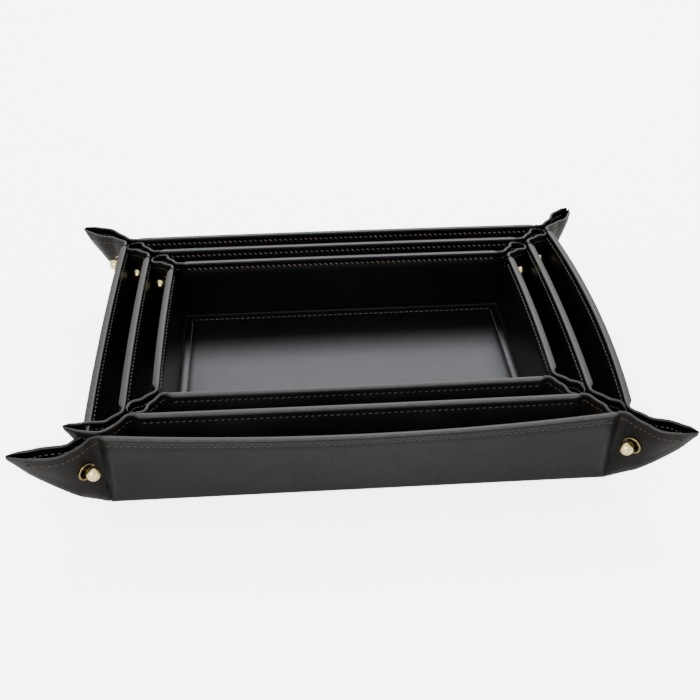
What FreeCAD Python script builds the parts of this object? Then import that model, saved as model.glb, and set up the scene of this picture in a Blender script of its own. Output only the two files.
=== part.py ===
import FreeCAD, Part
import math
import os

# Three leather trays that nest inside one another. Each one is a padded floor panel, four padded
# walls that fold up along its edges, and an unpadded leather gusset at each corner, folded
# outward into a pointed ear and pinched by a ball stud. Millimetres, +Z up, origin at the
# centre of the largest tray's underside. The modelled state is folded up and nested.

DIMENSIONS = [
    ("outer_width", "272"),
    ("outer_depth", "188"),
    ("nest_step", "16"),
    ("nest_gap", "0.3"),
    ("wall_height", "47"),
    ("height_step", "4.53"),
    ("wall_angle", "84"),
    ("ear_angle", "40.907"),
    ("cover_thick", "1.2"),
    ("board_thick", "1.8"),
    ("lining_thick", "1.2"),
    ("seam_margin", "5"),
    ("fold_gap", "0.3"),
    ("gusset_thick", "1.5"),
    ("gusset_start", "2"),
    ("gusset_fold_gap", "0.4"),
    ("tip_blunt", "3"),
    ("stud_in", "4.3"),
    ("stud_in_share", "0.16"),
    ("stud_up_share", "0.63"),
    ("ball_radius", "4"),
    ("ball_height", "9.6"),
    ("neck_radius", "2"),
    ("collar_radius", "3.5"),
    ("collar_thick", "1"),
    ("post_radius", "1.9"),
    ("post_hole_radius", "2"),
    ("thread_radius", "1.25"),
    ("thread_bore_radius", "1.3"),
    ("thread_depth", "5"),
    ("thread_end_gap", "0.5"),
    ("head_radius", "3.6"),
    ("head_thick", "1"),
    ("slot_width", "0.9"),
    ("slot_depth", "0.5"),
    ("eyelet_hole_radius", "3.85"),
    ("eyelet_barrel_radius", "4.3"),
    ("eyelet_rim_radius", "5.1"),
    ("eyelet_rim_thick", "0.5"),
]

doc = FreeCAD.newDocument("nesting_snap_trays")
sheet = doc.addObject("Spreadsheet::Sheet", "Dimensions")
for row, (alias, value) in enumerate(DIMENSIONS, start=1):
    sheet.set("A%d" % row, alias)
    sheet.set("B%d" % row, value)
    sheet.setAlias("B%d" % row, alias)
doc.recompute()

STACK = "(<<Dimensions>>.cover_thick + <<Dimensions>>.board_thick + <<Dimensions>>.lining_thick)"
TRAYS = ["large", "medium", "small"]
# wall name: (heading of its outward side, direction of the fold from the centre, length is width)
WALLS = {
    "front": (180, (0, -1), True),
    "back": (0, (0, 1), True),
    "left": (90, (-1, 0), False),
    "right": (-90, (1, 0), False),
}
# corner: the wall and the end (+1 or -1 along the wall's own x) that carries the stud, then the
# wall and end whose gusset half has the eyelet
CORNERS = {
    "front_left": (("left", -1), ("front", 1)),
    "front_right": (("right", 1), ("front", -1)),
    "back_left": (("back", -1), ("left", 1)),
    "back_right": (("back", 1), ("right", -1)),
}
nodes = []


def dim(text):
    """Turns @name in an expression into a reference to the sheet."""
    words = text.split("@")
    return "<<Dimensions>>.".join(words)


def bind(feature, **sizes):
    for path, text in sizes.items():
        feature.setExpression(path.replace("__", "."), dim(text))
    return feature


def box(name, length, width, height, x="0", y="0", z="0"):
    feature = doc.addObject("Part::Box", name)
    return bind(feature, Length=length, Width=width, Height=height,
                Placement__Base__x=x, Placement__Base__y=y, Placement__Base__z=z)


def cylinder(name, radius, height, z="0"):
    feature = doc.addObject("Part::Cylinder", name)
    return bind(feature, Radius=radius, Height=height, Placement__Base__z=z)


def join(kind, name, *members):
    feature = doc.addObject(kind, name)
    if kind == "Part::Cut":
        feature.Base, feature.Tool = members
    elif kind == "Part::Compound":
        feature.Links = list(members)
    else:
        feature.Shapes = list(members)
    return feature


def node(feature, label, placement):
    feature.Label = label
    feature.setExpression("Placement", dim(placement))
    nodes.append(feature)
    return feature


def padded_panel(name, length, width, start):
    """Cover below, board inside, lining with a rim round the board on top; the top is z = 0.
    It runs from y = start, and is centred on x = 0."""
    half = "-(%s)/2" % length
    cover = box(name + "_cover", length, width, "@cover_thick", half, start, "-" + STACK)
    board_length = "%s - 2*@seam_margin" % length
    board_width = "%s - 2*@seam_margin" % width
    inset_x = "%s + @seam_margin" % half
    inset_y = "%s + @seam_margin" % start
    board_z = "-@lining_thick - @board_thick"
    board = box(name + "_board", board_length, board_width, "@board_thick",
                inset_x, inset_y, board_z)
    blank = box(name + "_blank", length, width, "@lining_thick + @board_thick",
                half, start, board_z)
    room = box(name + "_room", board_length, board_width, "@board_thick",
               inset_x, inset_y, board_z)
    lining = join("Part::Cut", name + "_lining", blank, room)
    return cover, board, lining


def sketch_on(body, name, role):
    sketch = body.newObject("Sketcher::SketchObject", name)
    for feature in body.Origin.OriginFeatures:
        if feature.Role == role:
            sketch.AttachmentSupport = [(feature, "")]
    sketch.MapMode = "FlatFace"
    return sketch


def value(alias):
    return float(sheet.get(alias))


def stud_place(height):
    """Where the stud goes on a gusset half: (distance from the wall's end, height up it)."""
    return value("stud_in") + height * value("stud_in_share"), height * value("stud_up_share")


def gusset_half(name, height, end, hole):
    """A right triangle of leather: one leg beside the wall's end, one along the top, and the
    long side on the ear's fold. Its lining face is z = 0."""
    body = doc.addObject("PartDesign::Body", name)
    sketch = sketch_on(body, name + "_outline", "XY_Plane")
    low = value("gusset_start")
    back = value("gusset_fold_gap") * math.sqrt(2)
    tip = height - value("tip_blunt")
    outline = [(low, low + back), (low, height), (tip, height), (tip, tip + back)]
    points = [FreeCAD.Vector(end * x, y, 0) for x, y in outline]
    for first, second in zip(points, points[1:] + points[:1]):
        sketch.addGeometry(Part.LineSegment(first, second))
    pad = body.newObject("PartDesign::Pad", name + "_leather")
    pad.Profile = sketch
    pad.Reversed = True
    bind(pad, Length="@gusset_thick")
    opening = sketch_on(body, name + "_hole_outline", "XY_Plane")
    stud_x, stud_y = stud_place(height)
    centre = FreeCAD.Vector(end * stud_x, stud_y, 0)
    opening.addGeometry(Part.Circle(centre, FreeCAD.Vector(0, 0, 1), value(hole)))
    pocket = body.newObject("PartDesign::Pocket", name + "_hole")
    pocket.Profile = opening
    bind(pocket, Length="@gusset_thick")
    return body


def ball_stud(name):
    """Ball, neck, collar and post of the stud, drilled from behind for its screw."""
    ball = doc.addObject("Part::Sphere", name + "_ball")
    bind(ball, Radius="@ball_radius", Placement__Base__z="@ball_height")
    neck = cylinder(name + "_neck", "@neck_radius", "@ball_height")
    collar = cylinder(name + "_collar", "@collar_radius", "@collar_thick")
    post = cylinder(name + "_post", "@post_radius", "@gusset_thick", "-@gusset_thick")
    whole = join("Part::MultiFuse", name + "_turned", ball, neck, collar, post)
    bore = cylinder(name + "_bore", "@thread_bore_radius", "@thread_depth + @gusset_thick",
                    "-@gusset_thick")
    stud = join("Part::Cut", name + "_body", whole, bore)
    head = cylinder(name + "_head", "@head_radius", "@head_thick", "-@gusset_thick - @head_thick")
    shank = cylinder(name + "_shank", "@thread_radius",
                     "@thread_depth + @gusset_thick - @thread_end_gap", "-@gusset_thick")
    blank = join("Part::MultiFuse", name + "_screw_blank", head, shank)
    slot = box(name + "_slot", "2*@head_radius", "@slot_width", "@slot_depth",
               "-@head_radius", "-@slot_width/2", "-@gusset_thick - @head_thick")
    screw = join("Part::Cut", name + "_screw", blank, slot)
    return join("Part::Compound", name, stud, screw)


def eyelet(name, x, y):
    """A rolled brass ring through the leather with a rim on both faces."""
    barrel = cylinder(name + "_barrel", "@eyelet_barrel_radius", "@gusset_thick",
                      "-@gusset_thick")
    top = cylinder(name + "_top_rim", "@eyelet_rim_radius", "@eyelet_rim_thick")
    under = cylinder(name + "_under_rim", "@eyelet_rim_radius", "@eyelet_rim_thick",
                     "-@gusset_thick - @eyelet_rim_thick")
    solid = join("Part::MultiFuse", name + "_solid", barrel, top, under)
    through = cylinder(name + "_through", "@eyelet_hole_radius",
                       "@gusset_thick + 2*@eyelet_rim_thick",
                       "-@gusset_thick - @eyelet_rim_thick")
    ring = join("Part::Cut", name, solid, through)
    ring.Placement.Base = FreeCAD.Vector(x, y, 0)
    return ring


for level, tray in enumerate(TRAYS):
    width = "(@outer_width - %d*@nest_step)" % (2 * level)
    depth = "(@outer_depth - %d*@nest_step)" % (2 * level)
    slant = "(@wall_height - %d*@height_step)" % level
    lift = "(%d*(%s + @nest_gap))" % (level, STACK)
    fold_z = "(%s + %s)" % (lift, STACK)
    height = value("wall_height") - level * value("height_step")

    cover, board, lining = padded_panel(tray + "_floor", width, depth, "-%s/2" % depth)
    floor_at = "placement(vector(0; 0; %s); rotation(0; 0; 0))" % fold_z
    node(join("Part::Compound", tray + "_cover", cover), tray + "_base_cover", floor_at)
    node(join("Part::Compound", tray + "_board", board), tray + "_base_board", floor_at)
    node(join("Part::Compound", tray + "_lining", lining), tray + "_base_lining", floor_at)

    wall_at = {}
    wall_length = {}
    for wall, (heading, (toward_x, toward_y), along_width) in WALLS.items():
        wall_length[wall] = width if along_width else depth
        wall_at[wall] = (
            "placement(vector(%d*%s/2; %d*%s/2; %s); rotation(%d; 0; 0) * rotation(0; 0; @wall_angle))"
            % (toward_x, width, toward_y, depth, fold_z, heading)
        )
        name = "%s_%s_wall" % (tray, wall)
        length = "(%s - 2*@fold_gap)" % wall_length[wall]
        panel = padded_panel(name, length, "(%s - @fold_gap)" % slant, "@fold_gap")
        node(join("Part::Compound", name + "_panel", *panel), name, wall_at[wall])

    for corner, (stud_side, eyelet_side) in CORNERS.items():
        for wall, end in (stud_side, eyelet_side):
            carries_stud = (wall, end) == stud_side
            name = "%s_%s_ear_%s" % (tray, corner, wall)
            hole = "post_hole_radius" if carries_stud else "eyelet_barrel_radius"
            half = gusset_half(name + "_half", height, end, hole)
            stud_x, stud_y = stud_place(height)
            at = "%s * placement(vector(%d*%s/2; 0; 0); rotation(0; %d*@ear_angle; 0))" % (
                wall_at[wall], end, wall_length[wall], end)
            if carries_stud:
                node(half, name, at)
                stud = ball_stud("%s_%s_fixing" % (tray, corner))
                stud_at = "%s * placement(vector(%r; %r; 0); rotation(0; 0; 0))" % (
                    at, end * stud_x, stud_y)
                node(stud, "%s_%s_stud" % (tray, corner), stud_at)
            else:
                ring = eyelet(name + "_eyelet", end * stud_x, stud_y)
                node(join("Part::Compound", name + "_leather_and_eyelet", half, ring), name, at)

doc.recompute()

for feature in doc.Objects:
    for state in ("Invalid", "Error"):
        if state in feature.State:
            raise RuntimeError("%s is %s" % (feature.Label, state))
for feature in nodes:
    if feature.Shape.isNull() or not feature.Shape.isValid():
        raise RuntimeError("%s has no valid shape" % feature.Label)

os.makedirs("parts", exist_ok=True)
for feature in nodes:
    feature.Shape.exportStep("parts/%s.step" % feature.Label)
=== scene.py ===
import bmesh
import bpy
from mathutils import Matrix
import math
import numpy as np


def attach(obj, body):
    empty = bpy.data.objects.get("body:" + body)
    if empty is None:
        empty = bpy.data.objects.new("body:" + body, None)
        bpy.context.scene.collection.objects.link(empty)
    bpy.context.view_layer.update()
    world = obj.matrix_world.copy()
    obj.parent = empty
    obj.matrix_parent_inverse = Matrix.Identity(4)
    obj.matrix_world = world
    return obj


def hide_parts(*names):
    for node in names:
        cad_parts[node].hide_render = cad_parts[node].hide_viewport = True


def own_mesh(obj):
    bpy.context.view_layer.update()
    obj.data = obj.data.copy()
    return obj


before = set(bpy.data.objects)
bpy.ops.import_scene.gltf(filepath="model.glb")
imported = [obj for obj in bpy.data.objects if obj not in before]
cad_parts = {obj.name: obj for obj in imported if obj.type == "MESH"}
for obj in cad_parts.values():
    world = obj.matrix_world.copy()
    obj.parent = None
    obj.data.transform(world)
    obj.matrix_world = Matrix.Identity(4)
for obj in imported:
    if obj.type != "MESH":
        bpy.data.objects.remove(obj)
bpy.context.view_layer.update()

# Sizes in metres, the same as the part's: the folded rectangle of each tray, the height of its
# walls, and the level of its floor's lining.
TRAYS = {
    "large": dict(w=0.272, d=0.188, h=0.047, z=0.0042),
    "medium": dict(w=0.240, d=0.156, h=0.04247, z=0.0087),
    "small": dict(w=0.208, d=0.124, h=0.03794, z=0.0132),
}
THICK = 0.0042
LEAN = math.radians(6)
EAR = math.radians(40.907)
LEATHER = 0.0018
# the stitch rows: how far below the top edge, and from one stitch to the next
STITCH_DROP = 0.004
WALL_PITCH = 0.0034
EAR_PITCH = 0.0029
# the stud's place on an ear: from the wall's end, and up the wall as a share of its height
STUD_IN = 0.0043
STUD_IN_SHARE = 0.16
STUD_UP = 0.63
# each wall's heading about z in degrees, and which way it faces
WALLS = {"front": (180, (0, -1)), "back": (0, (0, 1)), "left": (90, (-1, 0)), "right": (-90, (1, 0))}
# each corner's studded half and its eyelet half: the wall, and which end of it
CORNERS = {
    "front_left": (("left", -1), ("front", 1)),
    "front_right": (("right", 1), ("front", -1)),
    "back_left": (("back", -1), ("left", 1)),
    "back_right": (("back", 1), ("right", -1)),
}
# how far the middle of each wall's top edge bows outward
BOWS = {
    "large": dict(front=0.0075, back=0.001, left=0.0015, right=0.0065),
    "medium": dict(front=0.0006, back=0.0006, left=0.0012, right=0.0022),
    "small": dict(front=0.0006, back=0.0006, left=0.001, right=0.0015),
}
# how far each ear's tip bends sideways (+ turns it towards the eyelet wall's line), is drawn in, and
# curls up
BENDS = {
    "large": dict(front_left=(0.023, 0.0, 0.0), front_right=(0.012, 0.004, 0.0),
                  back_left=(-0.008, 0.002, 0.002), back_right=(0.004, 0.003, 0.0)),
    "medium": dict(front_left=(0.009, 0.004, 0.010), front_right=(0.0, 0.017, 0.0),
                   back_left=(0.0, 0.017, 0.0), back_right=(0.0, 0.017, 0.0)),
    "small": dict(front_left=(0.0, 0.014, 0.002), front_right=(0.0, 0.015, 0.0),
                  back_left=(0.0, 0.015, 0.0), back_right=(0.0, 0.015, 0.0)),
}


# ---------------------------------------------------------------- materials

def new_material(name):
    material = bpy.data.materials.new(name)
    material.use_nodes = True
    tree = material.node_tree
    shader = tree.nodes["Principled BSDF"]
    coords = tree.nodes.new("ShaderNodeTexCoord")
    return material, tree, shader, coords.outputs["Object"]


def noise(tree, vector, scale, detail=4.0, rough=0.55):
    node = tree.nodes.new("ShaderNodeTexNoise")
    node.inputs["Scale"].default_value = scale
    node.inputs["Detail"].default_value = detail
    node.inputs["Roughness"].default_value = rough
    tree.links.new(vector, node.inputs["Vector"])
    return node.outputs["Fac"]


def ramp(tree, value, stops):
    node = tree.nodes.new("ShaderNodeValToRGB")
    elements = node.color_ramp.elements
    for i, (at, colour) in enumerate(stops):
        element = elements[i] if i < 2 else elements.new(at)
        element.position = at
        element.color = colour
    tree.links.new(value, node.inputs["Fac"])
    return node.outputs["Color"]


def spread(tree, value, low, high):
    node = tree.nodes.new("ShaderNodeMapRange")
    node.inputs["To Min"].default_value = low
    node.inputs["To Max"].default_value = high
    tree.links.new(value, node.inputs["Value"])
    return node.outputs["Result"]


def bump(tree, heights, shader):
    last = None
    for height, distance, strength in heights:
        node = tree.nodes.new("ShaderNodeBump")
        node.inputs["Distance"].default_value = distance
        node.inputs["Strength"].default_value = strength
        tree.links.new(height, node.inputs["Height"])
        if last is not None:
            tree.links.new(last, node.inputs["Normal"])
        last = node.outputs["Normal"]
    tree.links.new(last, shader.inputs["Normal"])


def grey(level, warm=0.0):
    return (level * (1 + warm), level, level * (1 - warm), 1)


def leather(name, dark, light, rough, shine, warm=0.02, grain=0.35, mottle=1.0,
            tint=(1.0, 0.98, 0.95, 1)):
    """Black leather: cloudy grey from dark to light, with a pebbled grain and rubbed patches."""
    material, tree, shader, vector = new_material(name)
    cells = tree.nodes.new("ShaderNodeTexVoronoi")
    cells.feature = "DISTANCE_TO_EDGE"
    cells.inputs["Scale"].default_value = 1250
    tree.links.new(vector, cells.inputs["Vector"])
    cloud = noise(tree, vector, 22, 5)
    fine = noise(tree, vector, 900, 3)
    rub = noise(tree, vector, 70, 6, 0.7)
    tree.links.new(ramp(tree, cloud, [(0.3, grey(dark, warm)), (0.75, grey(light, warm))]),
                   shader.inputs["Base Color"])
    tree.links.new(spread(tree, rub, rough - 0.09 * mottle, rough + 0.12 * mottle),
                   shader.inputs["Roughness"])
    shader.inputs["Specular IOR Level"].default_value = shine
    shader.inputs["Specular Tint"].default_value = tint
    heights = [(rub, 0.0004, 0.05 * mottle), (fine, 0.0002, grain),
               (cells.outputs["Distance"], 0.0003, grain)]
    bump(tree, heights, shader)
    return material


def edge_paint():
    material, tree, shader, vector = new_material("edge_paint")
    wear = noise(tree, vector, 160, 5, 0.7)
    stops = [(0.3, grey(0.006, 0.02)), (0.62, grey(0.015, 0.01)), (0.85, grey(0.026))]
    tree.links.new(ramp(tree, wear, stops), shader.inputs["Base Color"])
    tree.links.new(spread(tree, wear, 0.38, 0.58), shader.inputs["Roughness"])
    shader.inputs["Specular IOR Level"].default_value = 0.2
    bump(tree, [(noise(tree, vector, 600, 4), 0.0003, 0.35)], shader)
    return material


def thread(name, low, high):
    material, tree, shader, vector = new_material(name)
    strands = noise(tree, vector, 2600, 3)
    patches = noise(tree, vector, 60, 3)
    mix = tree.nodes.new("ShaderNodeMath")
    mix.operation = "MULTIPLY"
    tree.links.new(strands, mix.inputs[0])
    tree.links.new(patches, mix.inputs[1])
    tree.links.new(ramp(tree, mix.outputs[0], [(0.1, low), (0.4, high)]), shader.inputs["Base Color"])
    shader.inputs["Roughness"].default_value = 0.75
    bump(tree, [(strands, 0.0002, 0.5)], shader)
    return material


def metal(name, low, high, rough):
    material, tree, shader, vector = new_material(name)
    shader.inputs["Metallic"].default_value = 1.0
    tarnish = noise(tree, vector, 420, 5, 0.65)
    tree.links.new(ramp(tree, tarnish, [(0.35, low), (0.65, high)]), shader.inputs["Base Color"])
    tree.links.new(spread(tree, tarnish, rough - 0.05, rough + 0.12), shader.inputs["Roughness"])
    bump(tree, [(noise(tree, vector, 1500, 3), 0.00005, 0.15)], shader)
    return material


def greyboard():
    material, tree, shader, vector = new_material("grey_board")
    fibres = noise(tree, vector, 500, 6, 0.8)
    tree.links.new(ramp(tree, fibres, [(0.3, (0.22, 0.19, 0.15, 1)), (0.7, (0.40, 0.35, 0.28, 1))]),
                   shader.inputs["Base Color"])
    shader.inputs["Roughness"].default_value = 0.9
    return material


COVER = leather("cover_leather", 0.002, 0.006, 0.38, 0.13)
EAR_COVER = leather("ear_leather", 0.0014, 0.0050, 0.42, 0.10, warm=0.16, tint=(1.0, 0.93, 0.86, 1))
LINING = leather("lining_leather", 0.0008, 0.0018, 0.28, 0.11, warm=0.0, grain=0.2, mottle=0.25,
                 tint=(0.86, 0.88, 1.0, 1))
CREASE = leather("crease_leather", 0.004, 0.009, 0.50, 0.16, 0.22)
PAINT = edge_paint()
THREAD = thread("black_thread", (0.010, 0.009, 0.008, 1), (0.075, 0.066, 0.060, 1))
BROWN_THREAD = thread("brown_thread", (0.010, 0.007, 0.005, 1), (0.085, 0.050, 0.037, 1))
DARK_THREAD = thread("dark_thread", (0.003, 0.002, 0.0015, 1), (0.034, 0.021, 0.016, 1))
GOLD = metal("pale_gold", (0.42, 0.34, 0.14, 1), (0.66, 0.57, 0.29, 1), 0.2)
BRASS = metal("antique_brass", (0.11, 0.085, 0.03, 1), (0.26, 0.21, 0.09, 1), 0.34)

BOARD = greyboard()


# ---------------------------------------------------------------- meshes

class Mesh:
    """Vertices, faces and a material index for each face."""

    def __init__(self):
        self.points = []
        self.faces = []
        self.kinds = []

    def grid(self, rows, kind, close_rows=False, close_columns=False, skip=None):
        """rows[i][j] are points. kind is a number, or a function of (i, j)."""
        rows = np.asarray(rows, float)
        n, m = rows.shape[:2]
        base = len(self.points)
        self.points.extend(rows.reshape(-1, 3))
        for i in range(n if close_rows else n - 1):
            for j in range(m if close_columns else m - 1):
                if skip is not None and skip(i, j):
                    continue
                a, b = i, (i + 1) % n
                c, d = j, (j + 1) % m
                self.faces.append([base + a * m + c, base + b * m + c,
                                   base + b * m + d, base + a * m + d])
                self.kinds.append(kind(i, j) if callable(kind) else kind)

    def fan(self, ring, kind):
        """Closes a ring of points with triangles round its middle."""
        ring = np.asarray(ring, float)
        base = len(self.points)
        self.points.extend(ring)
        self.points.append(ring.mean(axis=0))
        count = len(ring)
        for i in range(count):
            self.faces.append([base + i, base + (i + 1) % count, base + count])
            self.kinds.append(kind)

    def stitch(self, start, end, up, width, kind):
        """One thread stitch: a rounded bead that dips into the leather at both ends."""
        start, end, up = (np.asarray(v, float) for v in (start, end, up))
        along = end - start
        side = np.cross(along / np.linalg.norm(along), up)
        rings = []
        for share, size, rise in ((0.0, 0.35, -0.5), (0.18, 0.9, 0.15), (0.5, 1.0, 0.3), (0.82, 0.9, 0.15),
                                  (1.0, 0.35, -0.5)):
            centre = start + along * share + up * width * rise
            ring = []
            for k in range(6):
                a = k * math.pi / 3
                ring.append(centre + (side * math.cos(a) + up * math.sin(a) * 0.7) * width * size / 2)
            rings.append(ring)
        self.grid(rings, kind, close_columns=True)
        self.fan(rings[0], kind)
        self.fan(rings[-1], kind)

    def make(self, name, materials):
        data = bpy.data.meshes.new(name)
        data.from_pydata([tuple(p) for p in self.points], [], self.faces)
        for item in materials:
            data.materials.append(item)
        data.polygons.foreach_set("material_index", self.kinds)
        data.update()
        solid = bmesh.new()
        solid.from_mesh(data)
        bmesh.ops.remove_doubles(solid, verts=solid.verts, dist=0.00002)
        bmesh.ops.recalc_face_normals(solid, faces=solid.faces)
        solid.to_mesh(data)
        solid.free()
        obj = bpy.data.objects.new(name, data)
        bpy.context.scene.collection.objects.link(obj)
        data.polygons.foreach_set("use_smooth", [True] * len(data.polygons))
        return obj


def turn(axis, angle):
    c, s = math.cos(angle), math.sin(angle)
    if axis == "x":
        return np.array([[1, 0, 0], [0, c, -s], [0, s, c]])
    if axis == "y":
        return np.array([[c, 0, s], [0, 1, 0], [-s, 0, c]])
    return np.array([[c, -s, 0], [s, c, 0], [0, 0, 1]])


def smooth(x):
    x = min(1.0, max(0.0, x))
    return x * x * (3 - 2 * x)


def wall_frame(tray, wall):
    """(rotation, origin, length): local x along the fold, y up the wall, z out of its lining."""
    t = TRAYS[tray]
    heading, (tx, ty) = WALLS[wall]
    rotation = turn("z", math.radians(heading)) @ turn("x", math.pi / 2 - LEAN)
    origin = np.array([tx * t["w"] / 2, ty * t["d"] / 2, t["z"]])
    length = t["w"] if wall in ("front", "back") else t["d"]
    return rotation, origin, length


# ---------------------------------------------------------------- walls

def wall_piece(tray, wall):
    rotation, origin, length = wall_frame(tray, wall)
    height = TRAYS[tray]["h"]
    bow = BOWS[tray][wall]

    def place(x, y, n):
        """n is the depth from the lining face towards the cover."""
        across = 2 * x / length
        share = max(0.0, 1 - across * across)
        outward = bow * share * (max(0.0, y) / height) ** 1.2
        return rotation @ np.array([x, y, -(n + outward)]) + origin

    thin = 0.0003
    stations = [0, 0.0006, 0.0015, 0.003, 0.0045, 0.0065, 0.009, 0.013]
    inner = list(np.linspace(0.02, length - 0.02, 40))
    along = stations + inner + [length - s for s in reversed(stations)]
    along = [a - length / 2 for a in along]

    def profile(end_share, edge):
        """The section's points (y, n) from the crease, up the lining, over the top and down the cover.

        end_share is 0 at the wall's ends, where the section thins, and edge is 0 where its crown ends.
        """
        pinch = thin * (1 - end_share)
        puff = 0.0001 * edge
        low, high = pinch, THICK - (THICK - LEATHER - 0.0006) * (1 - end_share)
        points = []
        for y, dip in ((0.0, 0), (0.0004, 0.00025), (0.0012, 0), (0.0025, -puff * 0.6),
                       (0.006, -puff), (0.5 * height, -puff * 1.3), (height - 0.009, -puff),
                       (height - 0.0058, -puff * 0.4), (height - 0.0048, 0.00022),
                       (height - 0.004, 0.0003), (height - 0.0032, 0.00022),
                       (height - 0.0022, 0), (height - 0.0012, 0)):
            points.append((y, low + dip if y > 0 else 0.0))
        for a in (0, 30, 60, 90):
            c, s = math.cos(math.radians(a)), math.sin(math.radians(a))
            points.append((height - 0.0008 + 0.0008 * s, low + 0.0008 - 0.0008 * c))
        points.append((height + 0.00012, (low + high) / 2))
        for a in (90, 60, 30, 0):
            c, s = math.cos(math.radians(a)), math.sin(math.radians(a))
            points.append((height - 0.0008 + 0.0008 * s, high - 0.0008 + 0.0008 * c))
        for y, dip in ((height - 0.0012, 0), (height - 0.0022, 0), (height - 0.0032, -0.00022),
                       (height - 0.004, -0.0003), (height - 0.0048, -0.00022),
                       (height - 0.0058, puff * 0.4), (height - 0.009, puff),
                       (0.5 * height, puff * 1.3), (0.009, puff), (0.006, puff),
                       (0.0025, puff * 0.5), (0.0, 0)):
            points.append((y, THICK + (high - THICK) * smooth(y / 0.010) + dip))
        for a in np.linspace(10, 84, 8):
            c, s = math.cos(math.radians(a)), math.sin(math.radians(a))
            points.append((-THICK * s, THICK * c))
        return points

    rows = []
    for x in along:
        edge = length / 2 - abs(x)
        section = profile(smooth(edge / 0.0045), smooth((edge - 0.004) / 0.01))
        rows.append([place(x, y, n) for y, n in section])
    count = len(rows[0])
    top = range(15, 19)

    def kind(i, j):
        if j in top:
            return 2
        if j < 1:
            return 3
        return 0 if j > 16 else 1

    mesh = Mesh()
    mesh.grid(rows, kind, close_columns=True)
    mesh.fan(rows[0], 2)
    mesh.fan(rows[-1], 2)

    number = int((length - 0.006) / WALL_PITCH)
    offset = -(number - 1) * WALL_PITCH / 2
    y = height - STITCH_DROP
    slant = 0.0007 if wall == "back" else 0.0003
    for face, out in ((0.0003, 1), (THICK - 0.0003, -1)):
        for k in range(number):
            x = offset + k * WALL_PITCH
            a = place(x - 0.0012, y + slant, face)
            b = place(x + 0.0012, y - slant, face)
            mesh.stitch(a, b, rotation @ np.array([0, 0, out]), 0.0008, 4 if out > 0 else 5)
    inner_thread = BROWN_THREAD if wall == "back" else THREAD
    materials = [COVER, LINING, PAINT, CREASE, inner_thread, DARK_THREAD]
    name = "%s_%s_wall_leather" % (tray, wall)
    obj = mesh.make(name, materials)
    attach(obj, "%s_%s_wall" % (tray, wall))
    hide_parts("%s_%s_wall" % (tray, wall))
    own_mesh(obj)
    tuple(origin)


# ---------------------------------------------------------------- floors

def floor_piece(tray):
    t = TRAYS[tray]
    insets = [0, 0.0004, 0.001, 0.002, 0.0032, 0.0042, 0.005, 0.0058, 0.0068, 0.009, 0.014, 0.022,
              0.034, 0.048]
    drops = [-0.0006, -0.0002, 0, 0.0001, 0.0001, -0.0001, -0.0003, -0.0001, 0.0001, 0.00015, 0.0002,
             0.0002, 0.0002, 0.0002]

    def spaced(size):
        middle = list(np.linspace(0.055, size - 0.055, 9)) if size > 0.125 else [size / 2]
        return [s - size / 2 for s in insets + middle + [size - s for s in reversed(insets)]]

    def lift(x, y):
        edge = min(t["w"] / 2 - abs(x), t["d"] / 2 - abs(y))
        return float(np.interp(edge, insets, drops))

    xs, ys = spaced(t["w"]), spaced(t["d"])
    mesh = Mesh()
    upper = [[(x, y, t["z"] + lift(x, y) - 0.0001) for y in ys] for x in xs]
    lower = [[(x, y, t["z"] - THICK) for y in ys] for x in xs]

    def kind(i, j):
        edge = min(i, j, len(xs) - 2 - i, len(ys) - 2 - j)
        return 2 if edge < 2 else 1

    mesh.grid(upper, kind)
    mesh.grid(lower, 0)
    border = [(i, 0) for i in range(len(xs))] + [(len(xs) - 1, j) for j in range(1, len(ys))]
    border += [(i, len(ys) - 1) for i in range(len(xs) - 2, -1, -1)]
    border += [(0, j) for j in range(len(ys) - 2, 0, -1)]
    mesh.grid([[upper[i][j] for i, j in border], [lower[i][j] for i, j in border]], 0, close_columns=True)
    inset = 0.005
    up = np.array([0, 0, 1.0])
    for along_x in (True, False):
        size = (t["w"] if along_x else t["d"]) - 2 * inset
        cross = (t["d"] if along_x else t["w"]) / 2 - inset
        number = int(size / WALL_PITCH)
        start = -(number - 1) * WALL_PITCH / 2
        for sign in (-1, 1):
            for k in range(number):
                s = start + k * WALL_PITCH
                ends = []
                for e in (s - 0.0012, s + 0.0012):
                    x, y = (e, sign * cross) if along_x else (sign * cross, e)
                    ends.append((x, y, t["z"] - 0.00035))
                mesh.stitch(ends[0], ends[1], up, 0.0006, 3)
    obj = mesh.make(tray + "_floor_leather", [COVER, LINING, CREASE, THREAD])
    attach(obj, tray + "_floor")
    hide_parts(tray + "_base_cover", tray + "_base_lining")


# ---------------------------------------------------------------- ball studs

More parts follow.
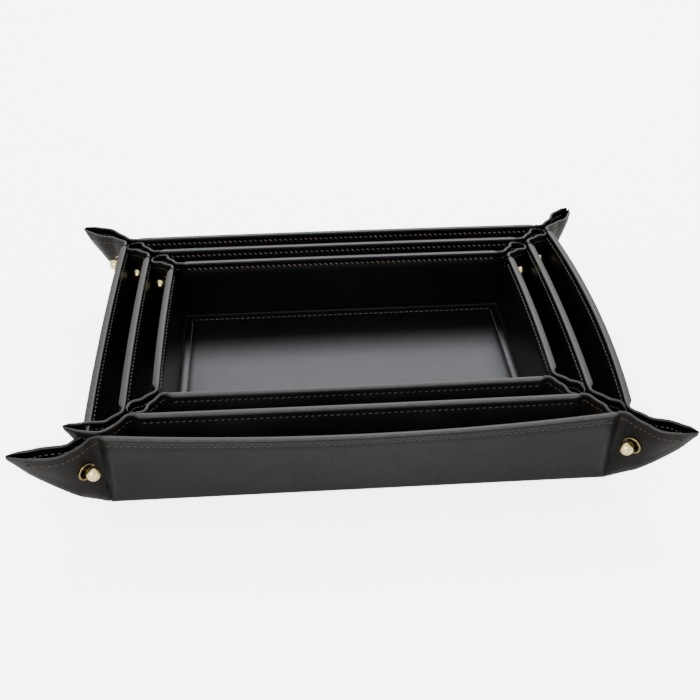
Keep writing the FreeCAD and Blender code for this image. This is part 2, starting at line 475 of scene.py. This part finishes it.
def stud_piece(name, body, axis):
    """A turned ball stud on the CAD stud's own centre line, ball end towards axis."""
    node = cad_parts[name]
    points = np.array([node.matrix_world @ v.co for v in node.data.vertices])
    side = np.cross(axis, (0, 0, 1.0))
    side = side / np.linalg.norm(side)
    other = np.cross(axis, side)
    middle = 0
    for v in (side, other):
        reach = points @ v
        middle = middle + v * (reach.min() + reach.max()) / 2
    reach = points @ axis
    top, bottom = reach.max(), reach.min()
    ball = 0.004
    section = [(0.0, top)]
    for a in range(12, 151, 12):
        c, s = math.cos(math.radians(a)), math.sin(math.radians(a))
        section.append((ball * s, top - ball + ball * c))
    section += [(0.0020, top - 0.0076), (0.0020, bottom + 0.0037), (0.0023, bottom + 0.0035),
                (0.0033, bottom + 0.0035), (0.0035, bottom + 0.0033), (0.0035, bottom + 0.0025),
                (0.0019, bottom + 0.0025), (0.0019, bottom + 0.0010), (0.0035, bottom + 0.0010),
                (0.0036, bottom + 0.0008), (0.0034, bottom + 0.0001), (0.0, bottom)]
    mesh = Mesh()
    rows = []
    for k in range(32):
        a = k * math.pi / 16
        spoke = side * math.cos(a) + other * math.sin(a)
        rows.append([middle + spoke * r + axis * z for r, z in section])
    mesh.grid(rows, 0, close_rows=True)
    obj = mesh.make(name + "_turned", [GOLD])
    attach(obj, body)
    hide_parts(name)


# ---------------------------------------------------------------- corner ears

def ear_piece(tray, corner, wall, end, studded):
    """One half of an ear: leather from the wall's end to the fold, pinched at the stud."""
    rotation, origin, length = wall_frame(tray, wall)
    height = TRAYS[tray]["h"]
    root = rotation @ np.array([end * length / 2, 0, 0]) + origin
    e_wall = rotation @ np.array([0, 1.0, 0])
    n_wall = rotation @ np.array([0, 0, 1.0])
    own = rotation @ turn("y", end * EAR)
    n_half = own @ np.array([0, 0, 1.0])
    fold = own @ np.array([end * 1.0, 1.0, 0])
    out = np.array([math.copysign(1, root[0]), math.copysign(1, root[1]), 0]) / math.sqrt(2)
    up = np.array([0, 0, 1.0])
    lateral = np.cross(out, up)
    if lateral @ e_wall < 0:
        lateral = -lateral
    # lateral points from the ear's middle to this half's side; its wall leans that way
    down = -up * (fold @ out) / math.sqrt(2) + out * (fold @ up) / math.sqrt(2)
    bend, drawn, curl = BENDS[tray][corner]
    bend = bend if studded else -bend
    bend_from = 0.30 * height

    board_gap = float(e_wall @ lateral) * height
    throat = 0.0021
    # half the ear's opening along its top edge, by the share of the way to the tip
    mouth = [(0.0, board_gap), (0.24, throat), (0.30, throat), (0.56, 0.0046), (0.80, 0.0030),
             (1.0, 0.0002)]

    def opening(share):
        if share <= 0.24:
            u = max(0.0, share) / 0.24
            slope = -1.1 * 0.24 * height
            return ((2 * u ** 3 - 3 * u ** 2 + 1) * board_gap + (u ** 3 - 2 * u ** 2 + u) * slope
                    + (3 * u ** 2 - 2 * u ** 3) * throat)
        for (a, p), (b, q) in zip(mouth, mouth[1:]):
            if share <= b:
                return p + (q - p) * smooth((share - a) / (b - a))
        return mouth[-1][1]

    def surface(s, b):
        """The lining face: s from the wall's end along the top, b from the fold (0) to the top (1)."""
        y = s + b * (height - s)
        share = s / height
        point = root + e_wall * (y - s) + fold * s
        point = point - lateral * (e_wall @ lateral) * (y - s)
        t = smooth(s / 0.008)
        shape = (1 - t) * b + t * (1 - (1 - b) ** 1.8)
        side = opening(share) * shape
        far = max(0.0, (s - bend_from) / (height - bend_from)) ** 1.35
        sideways = bend * far
        settle = 0.0003 * (1 - smooth(s / 0.005))
        pull = abs(sideways) * 0.28 + drawn * far
        return point + lateral * (side + sideways) - n_wall * settle - out * pull + up * curl * far

    shares = [0, 0.02, 0.045, 0.07, 0.10, 0.13, 0.16, 0.19, 0.22, 0.25, 0.28, 0.31, 0.34, 0.38, 0.42,
              0.47, 0.52, 0.57, 0.62, 0.67, 0.72, 0.77, 0.82, 0.87, 0.915, 0.95]
    columns = list(np.array(shares) * height)
    levels = [0, 0.02, 0.05, 0.09, 0.14, 0.20, 0.26, 0.32, 0.38, 0.44, 0.50, 0.56, 0.62, 0.68, 0.74,
              0.80, 0.86, 0.91, 0.95, 0.98, 1.0]
    lining = np.array([[surface(s, b) for b in levels] for s in columns])
    cover = np.zeros_like(lining)
    for i, s in enumerate(columns):
        for j, b in enumerate(levels):
            ds = surface(s + 0.0004, b) - surface(max(0, s - 0.0004), b)
            db = surface(s, min(1, b + 0.01)) - surface(s, max(0, b - 0.01))
            normal = np.cross(ds, db)
            normal = normal / np.linalg.norm(normal)
            if normal @ n_half > 0:
                normal = -normal
            if i == 0:
                normal = -n_wall
            y_up = b * (height - s)
            round_off = smooth(y_up / 0.0028)
            quarter = round_off * math.pi / 2
            direction = normal * math.sin(quarter) + down * math.cos(quarter)
            thin = LEATHER * (1 - 0.7 * smooth((s - 0.75 * height) / (0.20 * height)))
            extra = THICK - LEATHER
            outward = extra * (1 - smooth(y_up / 0.010)) * (1 - smooth(s / 0.007)) * math.sin(quarter)
            foot = extra * (1 - s / height) * (1 - smooth(y_up / 0.004))
            cover[i, j] = (lining[i, j] + direction / np.linalg.norm(direction) * thin
                           + normal * outward + down * foot)

    # the leather starts inside the wall's end, so no gap shows there
    inward = rotation @ np.array([-end * 0.0012, 0, 0])
    lining[0] += inward
    cover[0] += inward

    centre_s, centre_y = STUD_IN + STUD_IN_SHARE * height, STUD_UP * height
    radius = 0.0 if studded else 0.0045

    def hole(i, j):
        s = (columns[i] + columns[i + 1]) / 2
        b = (levels[j] + levels[j + 1]) / 2
        return math.hypot(s - centre_s, s + b * (height - s) - centre_y) < radius

    mesh = Mesh()
    mesh.grid(lining, 1, skip=hole)
    mesh.grid(cover, 0, skip=hole)
    top = []
    for i in range(len(columns)):
        low, high = lining[i, -1], cover[i, -1]
        lift = e_wall * 0.0004
        top.append([low, low * 0.82 + high * 0.18 + lift, (low + high) / 2 + lift * 1.3,
                    low * 0.18 + high * 0.82 + lift, high])
    mesh.grid(top, 2)
    forward = surface(columns[-1], 0.5) - surface(columns[-2], 0.5)
    forward = forward / np.linalg.norm(forward)
    tip = []
    for j in range(len(levels)):
        low, high = lining[-1, j], cover[-1, j]
        tip.append([low, (low + high) / 2 + forward * 0.0008, high])
    mesh.grid(tip, 2)
    mesh.grid([lining[:, 0], cover[:, 0]], 0)
    mesh.grid([lining[0], cover[0]], 0)

    def skin(s, y):
        b = (y - s) / (height - s)
        low = surface(s, b)
        ds = surface(s + 0.0004, b) - surface(s - 0.0004, b)
        db = surface(s, min(1, b + 0.01)) - surface(s, b - 0.01)
        normal = np.cross(ds, db)
        normal = normal / np.linalg.norm(normal)
        if normal @ n_half > 0:
            normal = -normal
        return low, normal

    s = 0.0022
    while s < height - 0.0075:
        a, _ = skin(s - 0.001, height - STITCH_DROP)
        b, n = skin(s + 0.001, height - STITCH_DROP)
        for depth, bead_up, thread_kind in ((0.00005, -n, 3), (LEATHER - 0.00005, n, 4)):
            mesh.stitch(a + n * depth, b + n * depth, bead_up, 0.0007, thread_kind)
        s += EAR_PITCH
    name = "%s_%s_ear_%s" % (tray, corner, wall)
    obj = mesh.make(name + "_leather", [EAR_COVER, LINING, PAINT, THREAD, DARK_THREAD])
    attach(obj, name)
    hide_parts(name)
    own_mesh(obj)
    if studded:
        stud_piece("%s_%s_stud" % (tray, corner), name, n_half)
        return
    centre, normal = skin(centre_s, centre_y)
    side = np.cross(normal, e_wall)
    side = side / np.linalg.norm(side)
    upward = np.cross(side, normal)
    ring = Mesh()
    # the brass ring's section, (radius, depth), from its bore round the inside rim to the outside rim
    section = [(0.00385, -0.0003), (0.0041, -0.00062), (0.0046, -0.00072), (0.0050, -0.00055),
               (0.0051, -0.0002),
               (0.0049, 0.0), (0.0044, 0.0001), (0.0044, LEATHER), (0.0049, LEATHER + 0.00005),
               (0.0052, LEATHER + 0.0003), (0.0051, LEATHER + 0.0006), (0.0047, LEATHER + 0.0008),
               (0.0042, LEATHER + 0.0007), (0.00387, LEATHER + 0.0004)]
    rows = []
    for k in range(48):
        a = k * math.pi / 24
        spoke = side * math.cos(a) + upward * math.sin(a)
        rows.append([centre + spoke * r + normal * z for r, z in section])
    ring.grid(rows, 0, close_rows=True, close_columns=True)
    obj = ring.make(name + "_eyelet_ring", [BRASS])
    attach(obj, name)


for tray in TRAYS:
    floor_piece(tray)
    for wall in WALLS:
        wall_piece(tray, wall)
    for corner, (stud_side, eyelet_side) in CORNERS.items():
        ear_piece(tray, corner, stud_side[0], stud_side[1], True)
        ear_piece(tray, corner, eyelet_side[0], eyelet_side[1], False)

# of the CAD's own nodes only the floors' boards are left, between their leathers
for name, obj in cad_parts.items():
    if name.endswith("_board"):
        for slot in obj.material_slots:
            slot.material = BOARD


# ---------------------------------------------------------------- stage, lights and camera

material, tree, shader, vector = new_material("pale_floor")
tree.links.new(ramp(tree, noise(tree, vector, 3, 2), [(0.3, grey(0.90)), (0.7, grey(0.92))]),
               shader.inputs["Base Color"])
shader.inputs["Roughness"].default_value = 0.6
# a white sweep for the camera only, so that it throws no more light on the leather
rays = tree.nodes.new("ShaderNodeLightPath")
glow = spread(tree, rays.outputs["Is Camera Ray"], 0.0, 4.0)
tree.links.new(glow, shader.inputs["Emission Strength"])
shader.inputs["Emission Color"].default_value = (1, 1, 1, 1)
bpy.ops.mesh.primitive_plane_add(size=6, location=(0, 0, -0.0002))
floor = bpy.context.object
floor.name = "floor"
floor.data.materials.append(material)

world = bpy.data.worlds.new("studio")
bpy.context.scene.world = world
world.use_nodes = True
world.node_tree.nodes["Background"].inputs["Color"].default_value = (1, 1, 1, 1)
world.node_tree.nodes["Background"].inputs["Strength"].default_value = 2.4


def set_place(obj, right, above, back, place):
    matrix = np.eye(4)
    matrix[:3, 0], matrix[:3, 1], matrix[:3, 2], matrix[:3, 3] = right, above, back, place
    obj.matrix_world = Matrix([list(row) for row in matrix])


def area(name, place, target, size, power):
    data = bpy.data.lights.new(name, "AREA")
    data.shape = "RECTANGLE"
    data.size, data.size_y = size
    data.energy = power
    obj = bpy.data.objects.new(name, data)
    bpy.context.scene.collection.objects.link(obj)
    back = np.array(place) - np.array(target)
    back = back / np.linalg.norm(back)
    right = np.cross((0, 0, 1.0), back)
    right = right / np.linalg.norm(right)
    set_place(obj, right, np.cross(back, right), back, place)


area("key_light", (0.1, 0.85, 0.75), (0, 0, 0), (0.8, 0.35), 14)
area("fill_light", (-0.5, -0.9, 0.7), (0, 0, 0), (0.6, 0.4), 9)

camera_data = bpy.data.cameras.new("camera")
camera_data.lens = 52.34
camera_data.sensor_width = 36
camera = bpy.data.objects.new("camera", camera_data)
bpy.context.scene.collection.objects.link(camera)
set_place(camera, (0.99734, -0.07293, 0.00165), (0.04183, 0.59028, 0.80614),
          (-0.05977, -0.80392, 0.59175), (-0.0367, -0.5016, 0.39446))
bpy.context.scene.camera = camera
